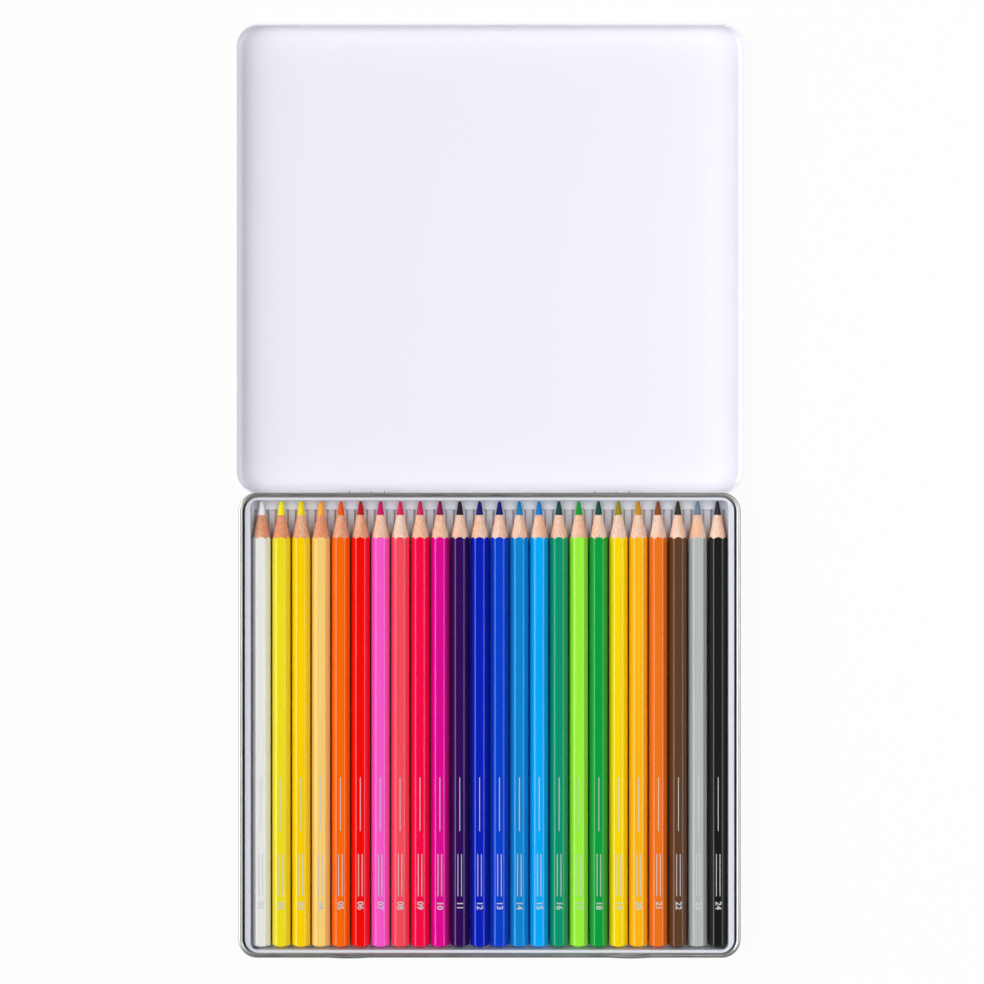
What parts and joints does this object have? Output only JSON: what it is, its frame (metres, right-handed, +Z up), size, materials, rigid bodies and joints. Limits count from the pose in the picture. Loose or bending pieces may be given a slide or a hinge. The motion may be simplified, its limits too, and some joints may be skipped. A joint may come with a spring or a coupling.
{
  "type": "colored pencil tin",
  "caption": "Flat hinged tin opened out flat: a shallow lid beside a beaded base that holds a row of hexagonal colored pencils in a grooved tray.",
  "frame": {"origin": "middle of the base's flat underside", "axes": "+X to the right along the row of pencils, +Y from the front edge to the hinge, +Z up"},
  "size_m": [0.1986, 0.3655, 0.01],
  "materials": {
    "tinplate": "bright drawn tinplate, clear lacquered",
    "white_lacquer": "gloss white lacquered tinplate",
    "tray_plastic": "vacuum formed polystyrene sheet, satin",
    "wire": "drawn steel wire",
    "barrel_lacquer_01": "incense cedar, gloss white lacquer on the barrel",
    "lead_01": "pigmented wax and clay, white",
    "barrel_lacquer_02": "incense cedar, gloss lemon yellow lacquer on the barrel",
    "lead_02": "pigmented wax and clay, lemon yellow",
    "barrel_lacquer_03": "incense cedar, gloss golden yellow lacquer on the barrel",
    "lead_03": "pigmented wax and clay, golden yellow",
    "barrel_lacquer_04": "incense cedar, gloss apricot lacquer on the barrel",
    "lead_04": "pigmented wax and clay, apricot",
    "barrel_lacquer_05": "incense cedar, gloss orange lacquer on the barrel",
    "lead_05": "pigmented wax and clay, orange",
    "barrel_lacquer_06": "incense cedar, gloss scarlet lacquer on the barrel",
    "lead_06": "pigmented wax and clay, scarlet",
    "barrel_lacquer_07": "incense cedar, gloss pink lacquer on the barrel",
    "lead_07": "pigmented wax and clay, pink",
    "barrel_lacquer_08": "incense cedar, gloss coral red lacquer on the barrel",
    "lead_08": "pigmented wax and clay, coral red",
    "barrel_lacquer_09": "incense cedar, gloss crimson lacquer on the barrel",
    "lead_09": "pigmented wax and clay, crimson",
    "barrel_lacquer_10": "incense cedar, gloss magenta lacquer on the barrel",
    "lead_10": "pigmented wax and clay, magenta",
    "barrel_lacquer_11": "incense cedar, gloss violet lacquer on the barrel",
    "lead_11": "pigmented wax and clay, violet",
    "barrel_lacquer_12": "incense cedar, gloss ultramarine lacquer on the barrel",
    "lead_12": "pigmented wax and clay, ultramarine",
    "barrel_lacquer_13": "incense cedar, gloss cobalt blue lacquer on the barrel",
    "lead_13": "pigmented wax and clay, cobalt blue",
    "barrel_lacquer_14": "incense cedar, gloss sky blue lacquer on the barrel",
    "lead_14": "pigmented wax and clay, sky blue",
    "barrel_lacquer_15": "incense cedar, gloss turquoise blue lacquer on the barrel",
    "lead_15": "pigmented wax and clay, turquoise blue",
    "barrel_lacquer_16": "incense cedar, gloss viridian lacquer on the barrel",
    "lead_16": "pigmented wax and clay, viridian",
    "barrel_lacquer_17": "incense cedar, gloss lime green lacquer on the barrel",
    "lead_17": "pigmented wax and clay, lime green",
    "barrel_lacquer_18": "incense cedar, gloss leaf green lacquer on the barrel",
    "lead_18": "pigmented wax and clay, leaf green",
    "barrel_lacquer_19": "incense cedar, gloss olive yellow lacquer on the barrel",
    "lead_19": "pigmented wax and clay, olive yellow",
    "barrel_lacquer_20": "incense cedar, gloss ochre lacquer on the barrel",
    "lead_20": "pigmented wax and clay, ochre",
    "barrel_lacquer_21": "incense cedar, gloss sienna lacquer on the barrel",
    "lead_21": "pigmented wax and clay, sienna",
    "barrel_lacquer_22": "incense cedar, gloss umber lacquer on the barrel",
    "lead_22": "pigmented wax and clay, umber",
    "barrel_lacquer_23": "incense cedar, gloss grey lacquer on the barrel",
    "lead_23": "pigmented wax and clay, grey",
    "barrel_lacquer_24": "incense cedar, gloss black lacquer on the barrel",
    "lead_24": "pigmented wax and clay, black"
  },
  "bodies": {
    "base": {"base_tin": "tinplate", "pencil_tray": "tray_plastic", "hinge_pin_left": "wire", "hinge_pin_right": "wire"},
    "lid": {"lid": "white_lacquer"},
    "pencil_01": {"pencil_01_casing": "barrel_lacquer_01", "pencil_01_lead": "lead_01"},
    "pencil_02": {"pencil_02_casing": "barrel_lacquer_02", "pencil_02_lead": "lead_02"},
    "pencil_03": {"pencil_03_casing": "barrel_lacquer_03", "pencil_03_lead": "lead_03"},
    "pencil_04": {"pencil_04_casing": "barrel_lacquer_04", "pencil_04_lead": "lead_04"},
    "pencil_05": {"pencil_05_casing": "barrel_lacquer_05", "pencil_05_lead": "lead_05"},
    "pencil_06": {"pencil_06_casing": "barrel_lacquer_06", "pencil_06_lead": "lead_06"},
    "pencil_07": {"pencil_07_casing": "barrel_lacquer_07", "pencil_07_lead": "lead_07"},
    "pencil_08": {"pencil_08_casing": "barrel_lacquer_08", "pencil_08_lead": "lead_08"},
    "pencil_09": {"pencil_09_casing": "barrel_lacquer_09", "pencil_09_lead": "lead_09"},
    "pencil_10": {"pencil_10_casing": "barrel_lacquer_10", "pencil_10_lead": "lead_10"},
    "pencil_11": {"pencil_11_casing": "barrel_lacquer_11", "pencil_11_lead": "lead_11"},
    "pencil_12": {"pencil_12_casing": "barrel_lacquer_12", "pencil_12_lead": "lead_12"},
    "pencil_13": {"pencil_13_casing": "barrel_lacquer_13", "pencil_13_lead": "lead_13"},
    "pencil_14": {"pencil_14_casing": "barrel_lacquer_14", "pencil_14_lead": "lead_14"},
    "pencil_15": {"pencil_15_casing": "barrel_lacquer_15", "pencil_15_lead": "lead_15"},
    "pencil_16": {"pencil_16_casing": "barrel_lacquer_16", "pencil_16_lead": "lead_16"},
    "pencil_17": {"pencil_17_casing": "barrel_lacquer_17", "pencil_17_lead": "lead_17"},
    "pencil_18": {"pencil_18_casing": "barrel_lacquer_18", "pencil_18_lead": "lead_18"},
    "pencil_19": {"pencil_19_casing": "barrel_lacquer_19", "pencil_19_lead": "lead_19"},
    "pencil_20": {"pencil_20_casing": "barrel_lacquer_20", "pencil_20_lead": "lead_20"},
    "pencil_21": {"pencil_21_casing": "barrel_lacquer_21", "pencil_21_lead": "lead_21"},
    "pencil_22": {"pencil_22_casing": "barrel_lacquer_22", "pencil_22_lead": "lead_22"},
    "pencil_23": {"pencil_23_casing": "barrel_lacquer_23", "pencil_23_lead": "lead_23"},
    "pencil_24": {"pencil_24_casing": "barrel_lacquer_24", "pencil_24_lead": "lead_24"}
  },
  "joints": [
    {"name": "lid_hinge", "type": "hinge", "parent": "base", "child": "lid", "pos_m": [0, 0.09113, 0.00525], "axis": [-1, 0, 0], "range_deg": [-180, 0]},
    {"name": "pencil_01_lift", "type": "slide", "parent": "base", "child": "pencil_01", "axis": [0, 0, 1], "range_m": [0, 0.03]},
    {"name": "pencil_02_lift", "type": "slide", "parent": "base", "child": "pencil_02", "axis": [0, 0, 1], "range_m": [0, 0.03]},
    {"name": "pencil_03_lift", "type": "slide", "parent": "base", "child": "pencil_03", "axis": [0, 0, 1], "range_m": [0, 0.03]},
    {"name": "pencil_04_lift", "type": "slide", "parent": "base", "child": "pencil_04", "axis": [0, 0, 1], "range_m": [0, 0.03]},
    {"name": "pencil_05_lift", "type": "slide", "parent": "base", "child": "pencil_05", "axis": [0, 0, 1], "range_m": [0, 0.03]},
    {"name": "pencil_06_lift", "type": "slide", "parent": "base", "child": "pencil_06", "axis": [0, 0, 1], "range_m": [0, 0.03]},
    {"name": "pencil_07_lift", "type": "slide", "parent": "base", "child": "pencil_07", "axis": [0, 0, 1], "range_m": [0, 0.03]},
    {"name": "pencil_08_lift", "type": "slide", "parent": "base", "child": "pencil_08", "axis": [0, 0, 1], "range_m": [0, 0.03]},
    {"name": "pencil_09_lift", "type": "slide", "parent": "base", "child": "pencil_09", "axis": [0, 0, 1], "range_m": [0, 0.03]},
    {"name": "pencil_10_lift", "type": "slide", "parent": "base", "child": "pencil_10", "axis": [0, 0, 1], "range_m": [0, 0.03]},
    {"name": "pencil_11_lift", "type": "slide", "parent": "base", "child": "pencil_11", "axis": [0, 0, 1], "range_m": [0, 0.03]},
    {"name": "pencil_12_lift", "type": "slide", "parent": "base", "child": "pencil_12", "axis": [0, 0, 1], "range_m": [0, 0.03]},
    {"name": "pencil_13_lift", "type": "slide", "parent": "base", "child": "pencil_13", "axis": [0, 0, 1], "range_m": [0, 0.03]},
    {"name": "pencil_14_lift", "type": "slide", "parent": "base", "child": "pencil_14", "axis": [0, 0, 1], "range_m": [0, 0.03]},
    {"name": "pencil_15_lift", "type": "slide", "parent": "base", "child": "pencil_15", "axis": [0, 0, 1], "range_m": [0, 0.03]},
    {"name": "pencil_16_lift", "type": "slide", "parent": "base", "child": "pencil_16", "axis": [0, 0, 1], "range_m": [0, 0.03]},
    {"name": "pencil_17_lift", "type": "slide", "parent": "base", "child": "pencil_17", "axis": [0, 0, 1], "range_m": [0, 0.03]},
    {"name": "pencil_18_lift", "type": "slide", "parent": "base", "child": "pencil_18", "axis": [0, 0, 1], "range_m": [0, 0.03]},
    {"name": "pencil_19_lift", "type": "slide", "parent": "base", "child": "pencil_19", "axis": [0, 0, 1], "range_m": [0, 0.03]},
    {"name": "pencil_20_lift", "type": "slide", "parent": "base", "child": "pencil_20", "axis": [0, 0, 1], "range_m": [0, 0.03]},
    {"name": "pencil_21_lift", "type": "slide", "parent": "base", "child": "pencil_21", "axis": [0, 0, 1], "range_m": [0, 0.03]},
    {"name": "pencil_22_lift", "type": "slide", "parent": "base", "child": "pencil_22", "axis": [0, 0, 1], "range_m": [0, 0.03]},
    {"name": "pencil_23_lift", "type": "slide", "parent": "base", "child": "pencil_23", "axis": [0, 0, 1], "range_m": [0, 0.03]},
    {"name": "pencil_24_lift", "type": "slide", "parent": "base", "child": "pencil_24", "axis": [0, 0, 1], "range_m": [0, 0.03]}
  ]
}
